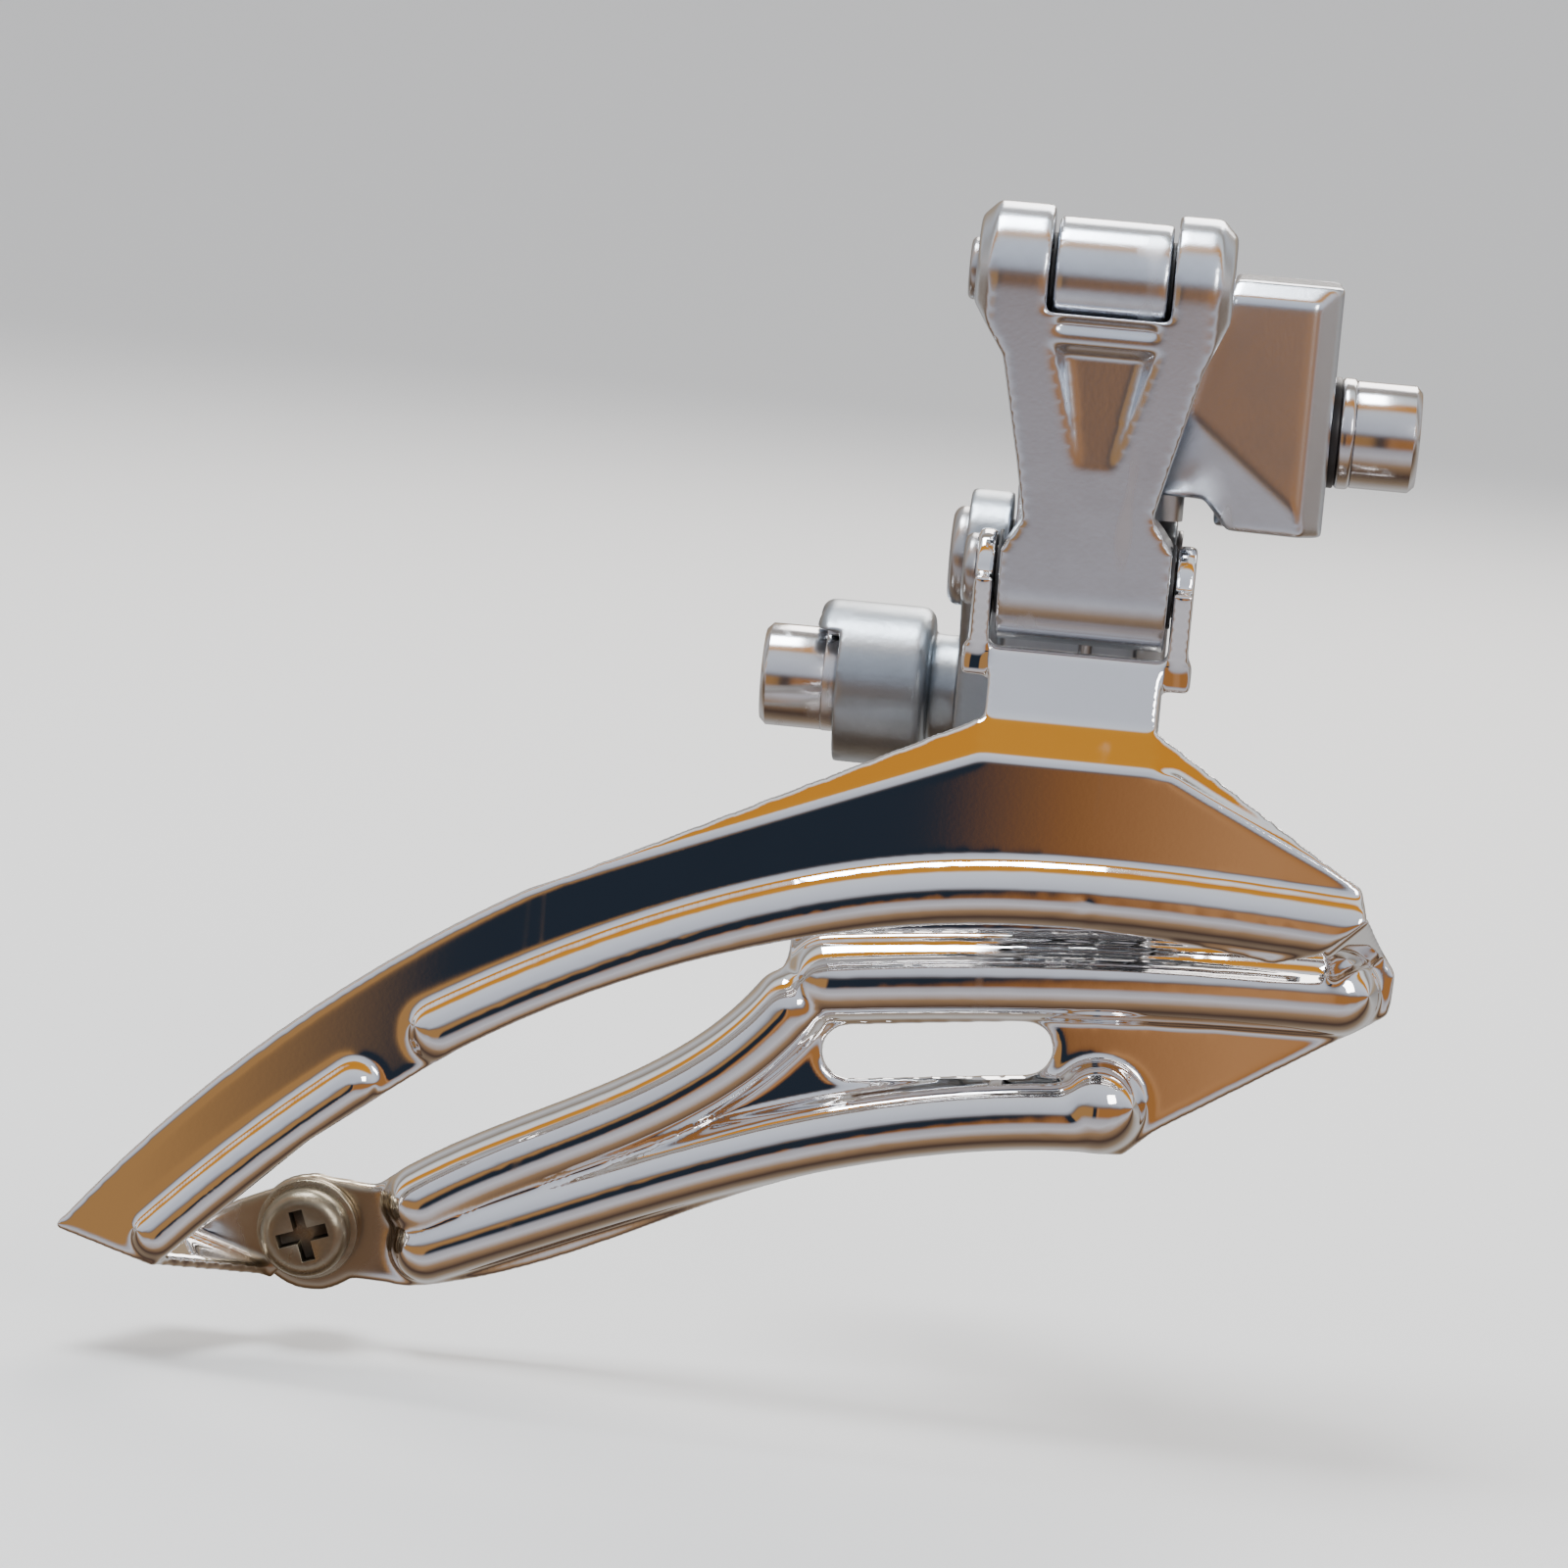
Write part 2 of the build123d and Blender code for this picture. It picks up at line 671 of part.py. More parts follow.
def tail_bridge(corner):
    """The plate's tail, turned inboard from its corner and up as a tab in front of the inner plate's lobe."""
    tab_front = inner_front - sheet
    x, z = corner
    slope = math.degrees(math.atan2(-2.4, 8.2))
    strip = Polyline(
        (x, cage_front),
        (x + 8.2, cage_front),
        (x + 16.4, tab_front),
        (x + 16.4, inner_front),
        (x + 6.4, inner_front),
        close=True,
    )
    floor = Pos(x, 0, z) * Rot(Y=-slope) * Pos(-x, 0, 0) * extrude(make_face(strip), sheet)
    tab = patch((-69.6, -60.4), (-60.3, -63.2), tail_screw, (-58.6, -54.8), (-63.5, -57.0))
    tab += Pos(*tail_screw) * Circle(lobe_radius - 0.5)
    return floor + along_y(tab, tab_front, inner_front)


def inner_cage_plate():
    back = inner_front + sheet
    lobe_left = (tail_screw[0] - lobe_radius, tail_screw[1])
    outline = Polyline((-54.0, -62.8), (-49.3, -63.0))
    outline += Spline(
        (-49.3, -63.0), (-38.0, -59.6), (-23.4, -52.7), (-11.9, -48.5), (-0.2, -46.5), (7.2, -46.3)
    )
    outline += Polyline((7.2, -46.3), (9.7, -44.0), (23.4, -35.2), (27.2, -32.8), (27.4, -29.4))
    outline += Polyline((27.4, -29.4), (24.9, -26.0), (18.0, -21.4), (8.5, -18.9), (-8.5, -18.9))
    outline += Polyline((-8.5, -18.9), (-17.0, -25.4), (-20.8, -30.4))
    outline += Spline((-20.8, -30.4), (-22.2, -36.0), (-28.4, -41.2), (-39.0, -46.9), (-52.4, -54.8))
    outline += Polyline((-52.4, -54.8), (-56.0, -54.6))
    outline += ThreePointArc((-56.0, -54.6), lobe_left, (-54.0, -62.8))
    plate = along_y(make_face(outline), inner_front, back)
    beads = (
        (((-48.6, -55.7), (-38.0, -49.8), (-28.4, -44.4), (-20.4, -36.8)), 3.1, 0.3),
        (((-17.4, -34.2), (0.0, -32.4), (23.0, -31.4)), 3.4, 0.5),
        (((-48.0, -59.4), (-36.0, -54.2), (-22.0, -48.6), (-8.0, -44.7), (3.2, -43.2)), 3.0, 0.3),
    )
    plate = press(plate, beads, inner_front)
    bulb = Pos(4.9, inner_front + 1.0, -42.4)
    plate += bulb * Sphere(bulb_radius) & Pos(0, inner_front + sheet - 30, 0) * Box(200, 60, 200)
    plate -= bulb * Sphere(bulb_radius - sheet)
    window = Pos(-8.3, -39.2) * Rot(Z=window_tilt) * SlotOverall(window_length, window_height)
    plate -= along_y(window, cage_front, inner_front + 9)
    near = Plane(origin=(bridge_near[0], cage_front + sheet, bridge_near[1]), x_dir=(1, 0, 1), z_dir=(0, 1, 0))
    far = Plane(origin=(24.4, back, -29.6), x_dir=(1, 0, 1), z_dir=(0, 1, 0))
    plate += loft([near * Rectangle(4.4, sheet), far * Rectangle(5.0, sheet)])
    ear = patch(
        (inner_front + 0.5, -19.2),
        (inner_pivot[0], inner_pivot[1] + inner_ear_radius),
        (inner_pivot[0], inner_pivot[1] - inner_ear_radius),
        (inner_front + 0.5, -28.4),
    )
    ear += Pos(*inner_pivot) * Circle(inner_ear_radius)
    half = inner_ear_inside
    for low in (-half - ear_sheet, half):
        plate += along_x(ear, low, low + ear_sheet)
    plate -= rod(inner_pivot, pin_radius + pin_seat_gap, -half - 9, half + 9)
    plate -= post(tail_screw, tail_radius + tail_hole_gap, cage_front, inner_front + 9)
    return cage_place * plate


def tail_screw_piece():
    tab_front = inner_front - sheet
    seat = tab_front - tail_washer_thickness
    nut_end = inner_front + sheet + tail_nut_height
    head = post(tail_screw, tail_head_radius, seat - tail_head_height, seat)
    head = fillet(head.edges().filter_by(GeomType.CIRCLE).sort_by(Axis.Y)[0], 1.2)
    screw = head + post(tail_screw, tail_radius, seat, nut_end + 0.6)
    for turn in (tail_cross_turn, tail_cross_turn + 90):
        arm = Pos(*tail_screw) * Rot(Z=turn) * Rectangle(tail_cross_length, tail_cross_width)
        screw -= along_y(arm, seat - tail_head_height - 1, seat - 0.7)
    return cage_place * screw


def tail_washer():
    tab_front = inner_front - sheet
    ring = Circle(tail_washer_radius) - Circle(tail_radius + tail_hole_gap)
    return cage_place * along_y(Pos(*tail_screw) * ring, tab_front - tail_washer_thickness, tab_front)


def tail_nut():
    back = inner_front + sheet
    hexagon = RegularPolygon(tail_nut_across / 2, 6, major_radius=False) - Circle(tail_radius + thread_gap)
    return cage_place * along_y(Pos(*tail_screw) * hexagon, back, back + tail_nut_height)


def knuckle_ends(width):
    """The two X positions of faces this far apart about the middle of the links."""
    return (link_mid_x - width / 2, link_mid_x + width / 2)


pieces = {
    "body_bracket": body_bracket(),
    "hanger_bolt": hanger_bolt(),
    "hanger_washer": hanger_washer(),
    "hanger_bolt_washer": steel_washer(),
    "low_limit_screw": limit_screw(limit_places()[0], stop_tip),
    "high_limit_screw": limit_screw(limit_places()[1], stop_tip),
    "limit_screw_sleeves": limit_sleeves(),
    "return_spring": return_spring(),
    "outer_link": outer_link(),
    "outer_upper_pin": pin(outer_upper, ear_left, ear_right - blind_end, ear_pin_head_radius, ear_pin_head),
    "outer_upper_bushes": flanged_bushes(
        outer_upper, *knuckle_ends(knuckle_width), bush_length, pin_running_gap
    ),
    "outer_lower_pin": pin(
        outer_lower, *knuckle_ends(2 * (cage_ear_inside + ear_sheet)), pin_head_radius, pin_head
    ),
    "outer_lower_bushes": flanged_bushes(
        outer_lower, *knuckle_ends(lower_knuckle_width), lower_bush_length, open_pivot_gap
    ),
    "inner_link": inner_link(),
    "inner_upper_pin": inner_upper_pin(),
    "inner_upper_clip": clip(inner_upper, hub_right + hub_right_lug_width),
    "inner_upper_bushes": flanged_bushes(
        inner_upper,
        hub_left + flange_thickness + side_gap,
        hub_right - flange_thickness - side_gap,
        body_leg_width - 0.1,
        pin_running_gap,
    ),
    "inner_lower_pin": pin(
        inner_lower, *knuckle_ends(2 * (inner_ear_inside + ear_sheet)), pin_head_radius, pin_head
    ),
    "inner_lower_bushes": flanged_bushes(
        inner_lower, *knuckle_ends(inner_knuckle_width), bush_length, pin_running_gap
    ),
    "cable_clamp_bolt": cable_bolt(),
    "cable_clamp_washer": cable_washer(),
    "outer_cage_plate": outer_cage_plate(),
    "inner_cage_plate": inner_cage_plate(),
    "tail_screw": tail_screw_piece(),
    "tail_washer": tail_washer(),
    "tail_nut": tail_nut(),
}

os.makedirs("parts", exist_ok=True)
for name, piece in pieces.items():
    piece.label = name
    export_step(piece, f"parts/{name}.step")
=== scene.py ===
"""Front derailleur: castings, pressed cage sheets, turned steel and their finishes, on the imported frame."""

import json
import math
from collections import namedtuple

import bpy
from mathutils import Matrix, Vector


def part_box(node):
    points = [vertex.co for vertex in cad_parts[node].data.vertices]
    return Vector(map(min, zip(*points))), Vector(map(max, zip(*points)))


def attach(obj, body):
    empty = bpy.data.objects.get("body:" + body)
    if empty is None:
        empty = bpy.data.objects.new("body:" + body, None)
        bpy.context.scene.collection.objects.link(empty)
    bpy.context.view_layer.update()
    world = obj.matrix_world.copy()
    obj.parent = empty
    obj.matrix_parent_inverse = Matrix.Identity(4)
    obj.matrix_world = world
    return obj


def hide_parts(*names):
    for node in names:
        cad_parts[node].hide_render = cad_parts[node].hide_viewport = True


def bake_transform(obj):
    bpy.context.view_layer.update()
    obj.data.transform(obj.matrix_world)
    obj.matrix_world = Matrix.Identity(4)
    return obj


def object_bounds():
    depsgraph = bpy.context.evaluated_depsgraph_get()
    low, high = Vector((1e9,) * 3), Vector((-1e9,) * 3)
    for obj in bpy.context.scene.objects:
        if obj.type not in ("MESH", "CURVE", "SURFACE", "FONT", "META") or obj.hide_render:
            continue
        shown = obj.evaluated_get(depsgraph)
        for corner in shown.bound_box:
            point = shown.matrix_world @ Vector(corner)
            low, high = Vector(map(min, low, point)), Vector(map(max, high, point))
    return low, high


bl_info = {
    "name": "Front Derailleur",
    "version": (1, 0, 0),
    "blender": (4, 5, 0),
    "location": "3D View > Sidebar > Derailleur",
    "description": "Builds the pieces and finishes of a front derailleur on its packed frame",
    "category": "Object",
}

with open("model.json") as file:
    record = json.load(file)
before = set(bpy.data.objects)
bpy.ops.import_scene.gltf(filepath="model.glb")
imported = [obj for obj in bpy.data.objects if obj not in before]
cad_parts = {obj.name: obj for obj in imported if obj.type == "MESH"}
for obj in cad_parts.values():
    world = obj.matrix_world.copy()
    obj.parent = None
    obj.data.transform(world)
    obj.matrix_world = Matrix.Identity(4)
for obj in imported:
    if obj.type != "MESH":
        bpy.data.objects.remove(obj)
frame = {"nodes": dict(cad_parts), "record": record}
cad_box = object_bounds()

MM = 0.001

# Pieces whose edges are rounded: node, voxel in mm, rounds of smoothing, material slot
CASTINGS = (
    ("body_bracket", 0.22, 14, "satin_alloy"),
    ("outer_link", 0.20, 18, "satin_alloy"),
    # Painted shade: the inner link gets a darker copy of the cast alloy, for the shade it sits in.
    ("inner_link", 0.20, 14, "grey_cast_alloy"),
)
SHEETS = (
    ("outer_cage_plate", 0.22, 19, "plated_sheet"),
    ("inner_cage_plate", 0.25, 19, "plated_sheet"),
)
# Pieces whose sharp edges are bevelled: node, bevel in mm, material slot
TURNED = (
    ("hanger_bolt", 0.16, "polished_steel"),
    ("cable_clamp_bolt", 0.16, "polished_steel"),
    ("hanger_bolt_washer", 0.1, "polished_steel"),
    ("cable_clamp_washer", 0.12, "polished_steel"),
    ("hanger_washer", 0.1, "black_steel"),
    ("outer_upper_pin", 0.15, "pin_steel"),
    ("outer_lower_pin", 0.15, "pin_steel"),
    ("inner_upper_pin", 0.15, "pin_steel"),
    ("inner_lower_pin", 0.15, "pin_steel"),
    ("inner_upper_clip", 0.08, "spring_steel"),
    ("return_spring", 0.0, "spring_steel"),
    ("low_limit_screw", 0.1, "zinc_steel"),
    ("high_limit_screw", 0.1, "zinc_steel"),
    ("limit_screw_sleeves", 0.08, "bush_polymer"),
    ("outer_upper_bushes", 0.08, "bush_polymer"),
    ("outer_lower_bushes", 0.08, "bush_polymer"),
    ("inner_upper_bushes", 0.08, "bush_polymer"),
    ("inner_lower_bushes", 0.08, "bush_polymer"),
    ("tail_screw", 0.14, "worn_zinc"),
    ("tail_washer", 0.1, "worn_zinc"),
    ("tail_nut", 0.14, "worn_zinc"),
)
TURNED_CORNER = math.radians(35)

# What polished metal mirrors, by angle about X: 0 is behind, 0.25 below, 0.5 ahead and 0.75 above
ROOM_BANDS = (
    (0.00, (0.34, 0.32, 0.31)),
    (0.10, (0.62, 0.60, 0.58)),
    (0.19, (0.30, 0.22, 0.15)),
    (0.26, (0.08, 0.05, 0.04)),
    (0.33, (0.36, 0.22, 0.12)),
    (0.39, (0.66, 0.64, 0.68)),
    (0.44, (0.42, 0.40, 0.43)),
    (0.505, (0.13, 0.11, 0.11)),
    (0.535, (0.62, 0.65, 0.74)),
    (0.61, (0.78, 0.82, 0.92)),
    (0.66, (0.84, 0.88, 0.95)),
    (0.68, (0.72, 0.32, 0.04)),
    (0.715, (0.68, 0.26, 0.02)),
    (0.735, (1.00, 1.00, 1.00)),
    (0.775, (0.92, 0.97, 1.00)),
    (0.81, (0.30, 0.24, 0.18)),
    (0.88, (0.66, 0.67, 0.70)),
    (0.95, (0.46, 0.34, 0.22)),
    (1.00, (0.34, 0.32, 0.31)),
)
# The same, straight ahead, by direction along X, from 30 degrees to the rear to 30 degrees to the front
FACING_BANDS = (
    (0.32, (0.42, 0.22, 0.08)),
    (0.37, (0.020, 0.028, 0.042)),
    (0.46, (0.020, 0.028, 0.042)),
    (0.485, (0.26, 0.11, 0.04)),
    (0.52, (0.50, 0.24, 0.10)),
    (0.60, (0.40, 0.17, 0.05)),
)
# The angles about X at which the facing bands take over from the room's
FACING_MASK = (
    (0.430, (0, 0, 0)),
    (0.452, (1, 1, 1)),
    (0.495, (1, 1, 1)),
    (0.515, (0, 0, 0)),
)

# name, place, size, power, colour
LIGHTS = (
    ("top_light", (-0.20, 0.0, 0.80), 0.35, 8.0, (0.90, 0.95, 1.0)),
    ("front_light", (0.45, -0.7, 0.30), 0.3, 3.0, (1.0, 0.98, 0.95)),
    ("back_light", (0.1, 0.7, 0.5), 0.5, 5.0, (1.0, 0.95, 0.9)),
)
LIGHTS_AIM = (-0.04, 0, -0.03)

FLOOR_SIZE = 6.0
BACKDROP_HEIGHT = 4.0
BACKDROP_CURVE = 1.8
LENS_MM = 122.4
SENSOR_MM = 36.0
CAMERA_AIM_MM = (-40.2, -7.2, -31.2)

# The plating has dulled round the tail screw: where that starts, where it is full, and how far dirt moves it
WORN_EDGE = 8.0 * MM
WORN_CORE = 5.2 * MM
WORN_MOTTLE = 2.5 * MM
WORN_COLOUR = (0.30, 0.23, 0.13)


# ---------------------------------------------------------------- helpers


def select_only(piece):
    """Make one object the active and only selected one."""
    bpy.ops.object.select_all(action="DESELECT")
    piece.select_set(True)
    bpy.context.view_layer.objects.active = piece


def body_of(node):
    """The body that a CAD node rides on."""
    for body, nodes in frame["record"]["behaviour"]["bodies"].items():
        if node in nodes:
            return body
    raise RuntimeError(f"no body holds {node}")


def merged_copy(node, name):
    """A copy of a CAD node's mesh with its loose triangles merged, as a new object."""
    source = frame["nodes"][node]
    piece = bpy.data.objects.new(name, source.data.copy())
    bpy.context.scene.collection.objects.link(piece)
    select_only(piece)
    bpy.ops.object.mode_set(mode="EDIT")
    bpy.ops.mesh.select_all(action="SELECT")
    bpy.ops.mesh.remove_doubles(threshold=0.002 * MM)
    bpy.ops.mesh.tris_convert_to_quads()
    bpy.ops.object.mode_set(mode="OBJECT")
    return piece


def apply_modifier(piece, kind, **settings):
    """Add a modifier with these settings and apply it."""
    select_only(piece)
    modifier = piece.modifiers.new(kind.title(), kind)
    for key, value in settings.items():
        setattr(modifier, key, value)
    bpy.ops.object.modifier_apply(modifier=modifier.name)


def softened_copy(node, name, voxel, rounds):
    """A copy of a CAD node with every edge rounded, remade from voxels and smoothed."""
    piece = merged_copy(node, name)
    apply_modifier(piece, "REMESH", mode="VOXEL", voxel_size=voxel * MM)
    apply_modifier(piece, "SMOOTH", factor=0.5, iterations=rounds)
    bpy.ops.object.shade_smooth()
    return piece


def wind_up(spring):
    """Bakes the spring's transform into its mesh, which leaves it on no body. The coil runs from its leg on
    the bracket, at the rear, to its leg on the inner link.
    """
    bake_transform(spring)


def stand_for(piece, node, slot):
    """The piece takes the node's place and finish, and its body, except the return spring, which only has its
    transform baked.
    """
    if node == "return_spring":
        wind_up(piece)
    else:
        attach(piece, body_of(node))
    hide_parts(node)
    piece.data.materials.clear()
    piece.data.materials.append(finish(slot))


# ---------------------------------------------------------------- finishes


def join(tree, term, socket):
    """Feed a socket from another node's output, or set it to a constant."""
    if isinstance(term, bpy.types.NodeSocket):
        tree.links.new(term, socket)
    else:
        socket.default_value = term


def calc(tree, operation, *terms):
    """The result of a Math node."""
    node = tree.nodes.new("ShaderNodeMath")
    node.operation = operation
    for socket, term in zip(node.inputs, terms):
        join(tree, term, socket)
    return node.outputs[0]


def remap(tree, value, start, end, top=1.0):
    """0 where the value is at start, rising to top where it is at end."""
    node = tree.nodes.new("ShaderNodeMapRange")
    node.inputs["From Min"].default_value = start
    node.inputs["From Max"].default_value = end
    node.inputs["To Max"].default_value = top
    tree.links.new(value, node.inputs["Value"])
    return node.outputs["Result"]


def noise(tree, where, scale, detail, roughness=0.5):
    """The value of a noise texture."""
    node = tree.nodes.new("ShaderNodeTexNoise")
    node.inputs["Detail"].default_value = detail
    node.inputs["Roughness"].default_value = roughness
    join(tree, where, node.inputs["Vector"])
    join(tree, scale, node.inputs["Scale"])
    return node.outputs["Fac"]


def mix(tree, factor, first, second):
    """The first colour where the factor is 0, and the second where it is 1."""
    node = tree.nodes.new("ShaderNodeMix")
    node.data_type = "RGBA"
    join(tree, factor, node.inputs["Factor"])
    join(tree, first, node.inputs["A"])
    join(tree, second, node.inputs["B"])
    return node.outputs["Result"]


def surface_group():
    """Grain, blotches, fine scratches and painted shade in crevices, shared by every finish."""
    group = bpy.data.node_groups.get("Surface Marks and Shade")
    if group:
        return group
    group = bpy.data.node_groups.new("Surface Marks and Shade", "ShaderNodeTree")
    for name, value in (("Grain Scale", 900.0), ("Blotch Scale", 60.0), ("Scratch Scale", 300.0)):
        socket = group.interface.new_socket(name, in_out="INPUT", socket_type="NodeSocketFloat")
        socket.default_value = value
    for name in ("Grain", "Blotches", "Scratches", "Crevice Shade"):
        group.interface.new_socket(name, in_out="OUTPUT", socket_type="NodeSocketFloat")
    nodes, links = group.nodes, group.links
    scales = nodes.new("NodeGroupInput").outputs
    marks_and_shade = nodes.new("NodeGroupOutput").inputs
    where = nodes.new("ShaderNodeTexCoord").outputs["Object"]

    links.new(noise(group, where, scales["Grain Scale"], 4.0), marks_and_shade["Grain"])
    blotches = noise(group, where, scales["Blotch Scale"], 6.0, roughness=0.65)
    links.new(remap(group, blotches, 0.48, 0.78), marks_and_shade["Blotches"])

    streaks = nodes.new("ShaderNodeMapping")
    streaks.inputs["Rotation"].default_value = (0.4, 0.9, 0.2)
    streaks.inputs["Scale"].default_value = (1.0, 1.0, 0.06)
    links.new(where, streaks.inputs["Vector"])
    scratches = noise(group, streaks.outputs["Vector"], scales["Scratch Scale"], 2.0)
    links.new(remap(group, scratches, 0.66, 0.72), marks_and_shade["Scratches"])

    # Painted shade: ambient occlusion darkens corners and recesses towards the dark colour.
    occlusion_shade = nodes.new("ShaderNodeAmbientOcclusion")
    occlusion_shade.samples = 6
    occlusion_shade.only_local = True
    occlusion_shade.inputs["Distance"].default_value = 1.6 * MM
    links.new(remap(group, occlusion_shade.outputs["AO"], 0.80, 0.35), marks_and_shade["Crevice Shade"])
    return group


# rougher is what marks add to the roughness. dirty says how much dirt the blotches hold, and crevice how much
# painted shade darkens corners and recesses; both mix towards one dark colour, used for the dirt and the
# painted shade alike.
Finish = namedtuple("Finish", "colour dirt metallic rough rougher dirty crevice grain bump_mm")
FINISHES = {
    "satin_alloy": Finish((0.72, 0.76, 0.82), (0.16, 0.14, 0.12), 1.0, 0.2, 0.16, 0.26, 0.85, 2600, 0.004),
    # Painted shade: a darker copy of the satin alloy, coloured for the shade the inner link sits in.
    "grey_cast_alloy": Finish((0.42, 0.46, 0.5), (0.07, 0.07, 0.07), 1.0, 0.33, 0.16, 0.4, 0.8, 1500, 0.02),
    "plated_sheet": Finish((0.84, 0.84, 0.85), (0.34, 0.28, 0.22), 1.0, 0.035, 0.1, 0.1, 0.25, 2500, 0.0004),
    "black_steel": Finish((0.02, 0.02, 0.022), (0.05, 0.045, 0.04), 0.6, 0.38, 0.15, 0.4, 0.3, 2200, 0.004),
    "polished_steel": Finish((0.72, 0.72, 0.74), (0.22, 0.19, 0.16), 1.0, 0.15, 0.14, 0.22, 0.5, 2600, 0.002),
    "bush_polymer": Finish((0.025, 0.025, 0.027), (0.07, 0.065, 0.06), 0.0, 0.5, 0.1, 0.3, 0.2, 1800, 0.004),
    "spring_steel": Finish((0.42, 0.42, 0.43), (0.15, 0.12, 0.1), 1.0, 0.28, 0.15, 0.4, 0.3, 2400, 0.003),
    "worn_zinc": Finish((0.3, 0.26, 0.19), (0.05, 0.04, 0.03), 0.95, 0.27, 0.25, 0.9, 1.0, 900, 0.05),
    "zinc_steel": Finish((0.52, 0.52, 0.52), (0.2, 0.18, 0.15), 1.0, 0.3, 0.15, 0.35, 0.4, 2000, 0.004),
    "pin_steel": Finish((0.5, 0.5, 0.51), (0.12, 0.1, 0.09), 1.0, 0.28, 0.15, 0.4, 0.5, 2000, 0.004),
}


def worn_patch(tree, blotches):
    """A mask of the plating that has dulled round the tail screw, with a mottled edge."""
    low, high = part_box("tail_screw")
    reach = tree.nodes.new("ShaderNodeVectorMath")
    reach.operation = "DISTANCE"
    reach.inputs[1].default_value = (low + high) / 2
    where = tree.nodes.new("ShaderNodeTexCoord")
    tree.links.new(where.outputs["Object"], reach.inputs[0])
    mottled = calc(tree, "MULTIPLY_ADD", blotches, -WORN_MOTTLE, reach.outputs["Value"])
    return remap(tree, mottled, WORN_EDGE, WORN_CORE, top=0.85)


def finish(slot):
    """The procedural material of a slot, made once."""
    material = bpy.data.materials.get(f"finish_{slot}")
    if material:
        return material
    look = FINISHES[slot]
    material = bpy.data.materials.new(f"finish_{slot}")
    material.use_nodes = True
    tree = material.node_tree
    shader = tree.nodes["Principled BSDF"].inputs
    shader["Metallic"].default_value = look.metallic
    group = tree.nodes.new("ShaderNodeGroup")
    group.node_tree = surface_group()
    group.inputs["Grain Scale"].default_value = look.grain
    marks_and_shade = group.outputs

    # Real dirt in the blotches plus painted shade in corners and recesses, both mixed towards one dark
    # colour.
    dirt = calc(tree, "MULTIPLY", marks_and_shade["Blotches"], look.dirty)
    dirt = calc(tree, "MULTIPLY_ADD", marks_and_shade["Crevice Shade"], look.crevice, dirt)
    dirt = calc(tree, "MINIMUM", dirt, 1.0)
    colour = mix(tree, dirt, (*look.colour, 1), (*look.dirt, 1))
    marked = calc(tree, "MAXIMUM", dirt, marks_and_shade["Scratches"])
    if slot == "plated_sheet":
        worn = worn_patch(tree, marks_and_shade["Blotches"])
        colour = mix(tree, worn, colour, (*WORN_COLOUR, 1))
        marked = calc(tree, "MULTIPLY_ADD", worn, 3.0, marked)
    tree.links.new(colour, shader["Base Color"])
    tree.links.new(calc(tree, "MULTIPLY_ADD", marked, look.rougher, look.rough), shader["Roughness"])

    bump = tree.nodes.new("ShaderNodeBump")
    bump.inputs["Distance"].default_value = look.bump_mm * MM
    bump.inputs["Strength"].default_value = 1.0
    tree.links.new(marks_and_shade["Grain"], bump.inputs["Height"])
    tree.links.new(bump.outputs["Normal"], shader["Normal"])
    return material


# ---------------------------------------------------------------- settings


class DerailleurSizes(bpy.types.PropertyGroup):
    """Sizes and angles that a user would change."""

    camera_azimuth: bpy.props.FloatProperty(
        name="Camera azimuth",
        description="Turn of the camera from straight outboard towards the front",
        default=math.radians(4.0),
        subtype="ANGLE",
    )
    camera_elevation: bpy.props.FloatProperty(
        name="Camera elevation",
        description="Height of the camera above the horizon",
        default=math.radians(8.0),
        subtype="ANGLE",
    )
    camera_roll: bpy.props.FloatProperty(
        name="Camera roll",
        description="Tilt of the picture about the viewing line",
        default=math.radians(5.0),
        subtype="ANGLE",
    )
    camera_distance: bpy.props.FloatProperty(
        name="Camera distance",
        description="From the aim point to the lens",
        default=0.422,
        unit="LENGTH",
    )
    floor_gap: bpy.props.FloatProperty(
        name="Floor gap",
        description="From the lowest point of the cage down to the floor",
        default=0.004,
        unit="LENGTH",
    )


class DerailleurColours(bpy.types.PropertyGroup):
    """Colours of the studio."""

    floor: bpy.props.FloatVectorProperty(
        name="Floor",
        description="Plain pale floor",
        default=(0.80, 0.79, 0.77),
        size=3,
        subtype="COLOR",
    )
    fill: bpy.props.FloatVectorProperty(
        name="Fill",
        description="Soft light from all round",
        default=(0.93, 0.95, 1.0),
        size=3,
        subtype="COLOR",
    )


# ---------------------------------------------------------------- operators


class DERAILLEUR_OT_castings(bpy.types.Operator):
    """Round the edges of the cast bracket and links, as a die casting has them"""

    bl_idname = "derailleur.castings"
    bl_label = "Castings"

    def execute(self, context):
        for node, voxel, rounds, slot in CASTINGS:
            stand_for(softened_copy(node, f"{node}_casting", voxel, rounds), node, slot)
        return {"FINISHED"}


class DERAILLEUR_OT_sheets(bpy.types.Operator):
    """Soften the bends and beads of the two pressed cage sheets"""

    bl_idname = "derailleur.sheets"
    bl_label = "Cage sheets"

    def execute(self, context):
        for node, voxel, rounds, slot in SHEETS:
            stand_for(softened_copy(node, f"{node}_pressing", voxel, rounds), node, slot)
        return {"FINISHED"}


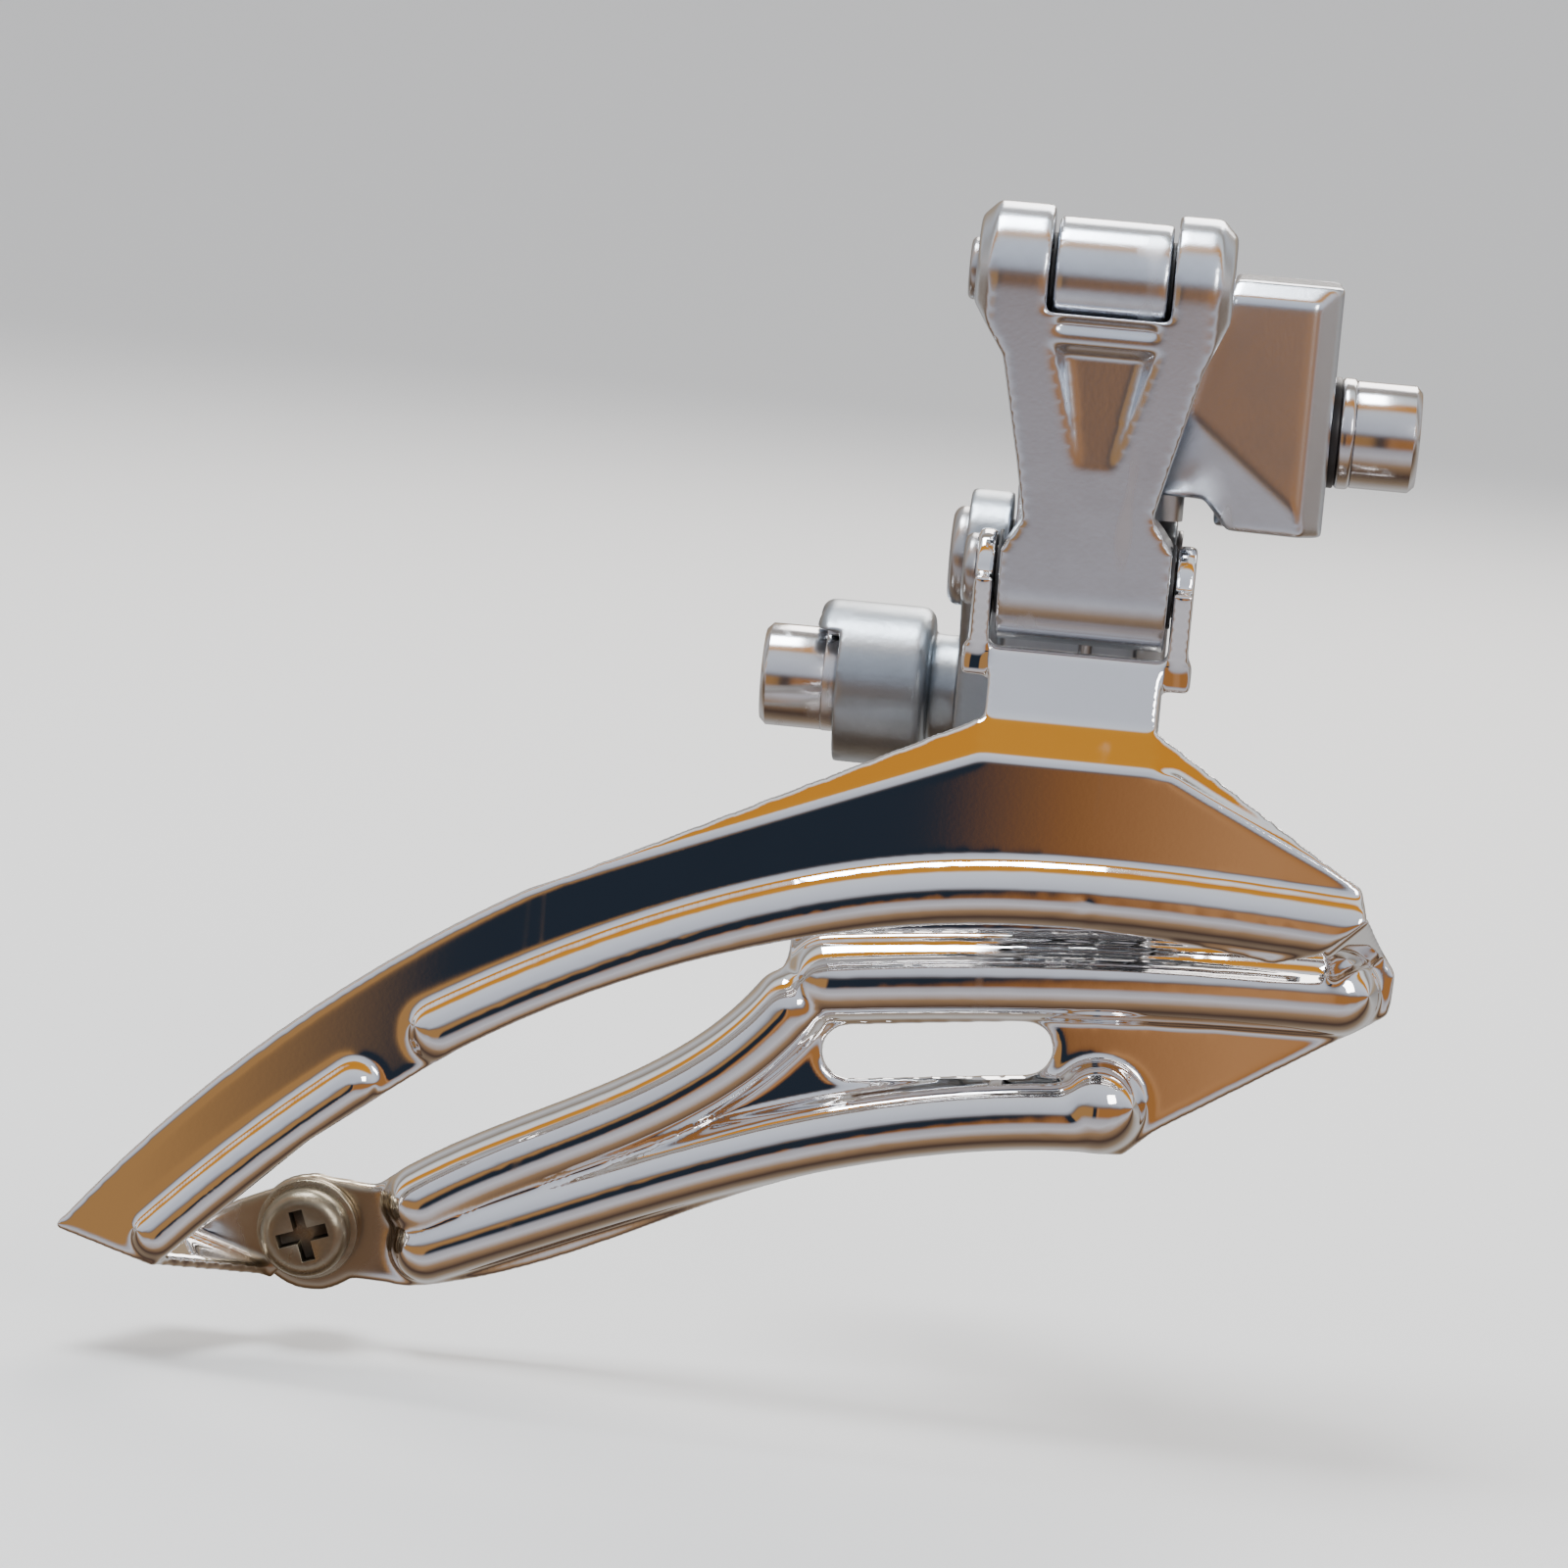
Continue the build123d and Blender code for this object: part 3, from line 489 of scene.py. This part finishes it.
class DERAILLEUR_OT_turned(bpy.types.Operator):
    """Break the sharp edges of screws, pins, washers and bushes"""

    bl_idname = "derailleur.turned"
    bl_label = "Screws, pins and bushes"

    def execute(self, context):
        for node, edge, slot in TURNED:
            piece = merged_copy(node, f"{node}_turned")
            if edge:
                corners = {"limit_method": "ANGLE", "angle_limit": TURNED_CORNER}
                apply_modifier(piece, "BEVEL", width=edge * MM, segments=2, **corners)
            bpy.ops.object.shade_smooth_by_angle(angle=TURNED_CORNER)
            stand_for(piece, node, slot)
        return {"FINISHED"}


class DERAILLEUR_OT_stage(bpy.types.Operator):
    """Pale floor, soft studio light and the camera"""

    bl_idname = "derailleur.stage"
    bl_label = "Stage and camera"

    def execute(self, context):
        sizes = context.scene.derailleur_sizes
        colours = context.scene.derailleur_colours
        floor_under(cad_box[0], sizes, colours)
        studio_world(colours)
        soft_lights()
        camera_at(sizes)
        return {"FINISHED"}


def floor_under(lowest, sizes, colours):
    """A pale floor that curves up into a backdrop."""
    bpy.ops.object.select_all(action="DESELECT")
    bpy.ops.mesh.primitive_plane_add(size=FLOOR_SIZE, location=(0, 0, lowest[2] - sizes.floor_gap))
    floor = bpy.context.object
    floor.name = "floor"
    bpy.ops.object.transform_apply(location=True)
    bpy.ops.object.mode_set(mode="EDIT")
    bpy.ops.mesh.select_all(action="DESELECT")
    bpy.ops.mesh.select_mode(type="EDGE")
    bpy.ops.object.mode_set(mode="OBJECT")
    for edge in floor.data.edges:
        edge.select = all(floor.data.vertices[v].co.y > FLOOR_SIZE / 3 for v in edge.vertices)
    bpy.ops.object.mode_set(mode="EDIT")
    bpy.ops.mesh.extrude_region_move(TRANSFORM_OT_translate={"value": (0, 0, BACKDROP_HEIGHT)})
    bpy.ops.object.mode_set(mode="OBJECT")
    apply_modifier(floor, "BEVEL", width=BACKDROP_CURVE, segments=24, limit_method="ANGLE")
    bpy.ops.object.shade_smooth()
    material = bpy.data.materials.new("floor_paint")
    material.use_nodes = True
    shader = material.node_tree.nodes["Principled BSDF"]
    shader.inputs["Base Color"].default_value = (*colours.floor, 1)
    shader.inputs["Roughness"].default_value = 0.75
    floor.data.materials.append(material)
    floor.visible_glossy = False


def studio_world(colours):
    """Plain soft light for the floor, and a room of soft bands for the polished metal to mirror."""
    world = bpy.data.worlds.new("studio")
    bpy.context.scene.world = world
    world.use_nodes = True
    tree = world.node_tree
    nodes, links = tree.nodes, tree.links
    plain = nodes["Background"]
    plain.inputs["Color"].default_value = (*colours.fill, 1)
    plain.inputs["Strength"].default_value = 0.95

    split = nodes.new("ShaderNodeSeparateXYZ")
    links.new(nodes.new("ShaderNodeTexCoord").outputs["Generated"], split.inputs[0])
    ahead = calc(tree, "MULTIPLY", split.outputs["Y"], -1.0)
    angle = remap(tree, calc(tree, "ARCTAN2", split.outputs["Z"], ahead), -math.pi, math.pi)
    aside = remap(tree, split.outputs["X"], -0.5, 0.5)
    level = band_ramp(tree, FACING_MASK, angle)
    mirrored = mix(tree, level, band_ramp(tree, ROOM_BANDS, angle), band_ramp(tree, FACING_BANDS, aside))

    room = nodes.new("ShaderNodeBackground")
    links.new(mirrored, room.inputs["Color"])
    pick = nodes.new("ShaderNodeMixShader")
    links.new(nodes.new("ShaderNodeLightPath").outputs["Is Glossy Ray"], pick.inputs["Fac"])
    links.new(plain.outputs[0], pick.inputs[1])
    links.new(room.outputs[0], pick.inputs[2])
    links.new(pick.outputs[0], nodes["World Output"].inputs["Surface"])


def band_ramp(tree, bands, value):
    """The colour at a value, from (place, colour) stops."""
    ramp = tree.nodes.new("ShaderNodeValToRGB")
    stops = ramp.color_ramp.elements
    while len(stops) < len(bands):
        stops.new(0.5)
    for stop, (place, colour) in zip(stops, bands):
        stop.position = place
        stop.color = (*colour, 1)
    tree.links.new(value, ramp.inputs["Fac"])
    return ramp.outputs["Color"]


def soft_lights():
    """A wide light above, and weaker ones in front and behind, all aimed at the middle of the object."""
    for name, place, size, power, colour in LIGHTS:
        data = bpy.data.lights.new(name, "AREA")
        data.size = size
        data.energy = power
        data.color = colour
        light = bpy.data.objects.new(name, data)
        bpy.context.scene.collection.objects.link(light)
        light.location = place
        aim = Vector(LIGHTS_AIM) - Vector(place)
        light.rotation_euler = aim.to_track_quat("-Z", "Y").to_euler()


def camera_at(sizes):
    """A long lens on the outboard side, rolled a little, with no shift and no depth of field."""
    azimuth, elevation = sizes.camera_azimuth, sizes.camera_elevation
    away = Vector(
        (
            math.sin(azimuth) * math.cos(elevation),
            -math.cos(azimuth) * math.cos(elevation),
            math.sin(elevation),
        )
    )
    level = Vector((math.cos(azimuth), math.sin(azimuth), 0))
    turned = Matrix.Rotation(sizes.camera_roll, 3, away)
    right = turned @ level
    up = turned @ away.cross(level)
    place = Vector(CAMERA_AIM_MM) * MM + away * sizes.camera_distance
    data = bpy.data.cameras.new("camera")
    data.lens = LENS_MM
    data.sensor_width = SENSOR_MM
    camera = bpy.data.objects.new("camera", data)
    bpy.context.scene.collection.objects.link(camera)
    camera.matrix_world = Matrix(
        (
            (right.x, up.x, away.x, place.x),
            (right.y, up.y, away.y, place.y),
            (right.z, up.z, away.z, place.z),
            (0, 0, 0, 1),
        )
    )
    bpy.context.scene.camera = camera


class DERAILLEUR_PT_panel(bpy.types.Panel):
    """Lists the steps in the order they are run"""

    bl_idname = "DERAILLEUR_PT_panel"
    bl_label = "Derailleur"
    bl_space_type = "VIEW_3D"
    bl_region_type = "UI"
    bl_category = "Derailleur"

    def draw(self, context):
        for operator in OPERATORS:
            self.layout.operator(operator.bl_idname)


OPERATORS = (DERAILLEUR_OT_castings, DERAILLEUR_OT_sheets, DERAILLEUR_OT_turned, DERAILLEUR_OT_stage)
CLASSES = (DerailleurSizes, DerailleurColours, *OPERATORS, DERAILLEUR_PT_panel)


def register():
    """Add the classes and the two groups of settings to Blender."""
    for cls in CLASSES:
        bpy.utils.register_class(cls)
    bpy.types.Scene.derailleur_sizes = bpy.props.PointerProperty(type=DerailleurSizes)
    bpy.types.Scene.derailleur_colours = bpy.props.PointerProperty(type=DerailleurColours)


def unregister():
    """Take them away again."""
    del bpy.types.Scene.derailleur_colours
    del bpy.types.Scene.derailleur_sizes
    for cls in reversed(CLASSES):
        bpy.utils.unregister_class(cls)


def main():
    """Build everything in order."""
    register()
    bpy.ops.derailleur.castings()
    bpy.ops.derailleur.sheets()
    bpy.ops.derailleur.turned()
    bpy.ops.derailleur.stage()


if __name__ == "__main__":
    main()
